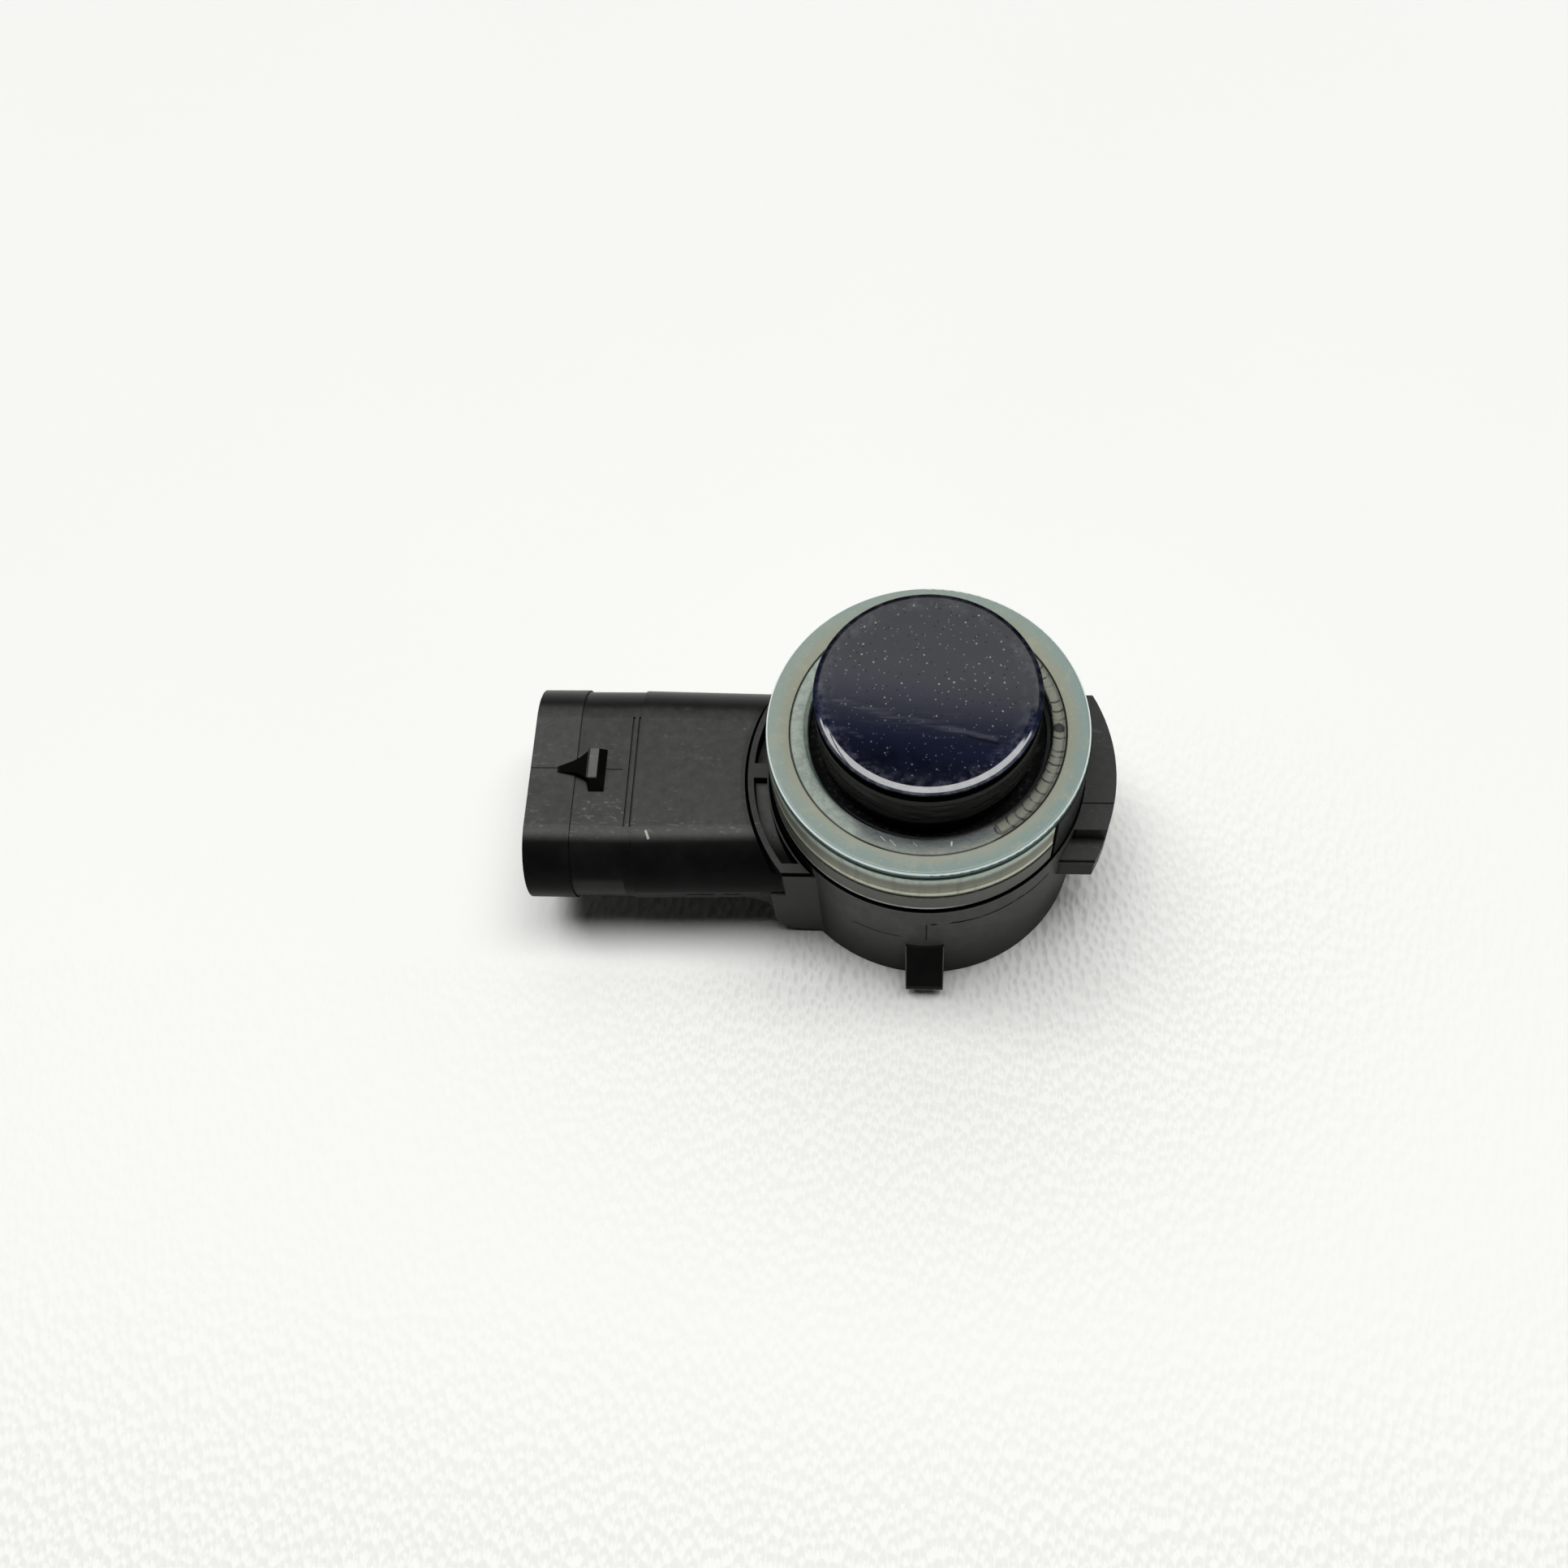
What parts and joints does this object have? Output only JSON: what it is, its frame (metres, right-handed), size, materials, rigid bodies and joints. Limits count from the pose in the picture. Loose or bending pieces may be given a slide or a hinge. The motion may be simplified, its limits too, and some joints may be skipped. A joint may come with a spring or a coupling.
{
  "type": "parking sensor",
  "caption": "Ultrasonic parking sensor with a painted membrane cup in a translucent silicone ring, on a black moulded housing with a side connector socket.",
  "frame": {"origin": "centre of the flat rear face, on the sensing axis", "axes": "+Z along the sensing axis out of the membrane cup, -X along the connector socket to its mouth, -Y to the side with the low plate of the arc lug"},
  "size_m": [0.0437, 0.0266, 0.024],
  "materials": {
    "housing": "fine moulded satin, lightly dusty",
    "rear_cover": "satin",
    "membrane_cup": "dark navy metallic gloss paint with a clear coat",
    "decoupling_ring": "translucent silicone",
    "sealing_bead": "clear sealant",
    "transducer_carrier": "satin",
    "piezo_disc": "fired ceramic with a thin metal face",
    "damping_foam": "closed-cell foam",
    "signal_lead": "insulated wire",
    "ground_lead": "insulated wire",
    "circuit_board": "solder resist",
    "control_chip": "moulded package",
    "transformer_base": "satin",
    "transformer_core": "ferrite",
    "transformer_winding": "enamelled copper",
    "storage_capacitor": "drawn can",
    "chip_capacitors": "ceramic",
    "chip_resistors": "ceramic",
    "clamp_diodes": "moulded package",
    "terminals": "tin plated",
    "potting_resin": "cast resin"
  },
  "bodies": {
    "root": {"housing": "housing", "rear_cover": "rear_cover", "membrane_cup": "membrane_cup", "decoupling_ring": "decoupling_ring", "sealing_bead": "sealing_bead", "transducer_carrier": "transducer_carrier", "piezo_disc": "piezo_disc", "damping_foam": "damping_foam", "signal_lead": "signal_lead", "ground_lead": "ground_lead", "circuit_board": "circuit_board", "control_chip": "control_chip", "transformer_base": "transformer_base", "transformer_core": "transformer_core", "transformer_winding": "transformer_winding", "storage_capacitor": "storage_capacitor", "chip_capacitors": "chip_capacitors", "chip_resistors": "chip_resistors", "clamp_diodes": "clamp_diodes", "supply_pin": "terminals", "signal_pin": "terminals", "ground_pin": "terminals", "potting_resin": "potting_resin"}
  },
  "joints": []
}
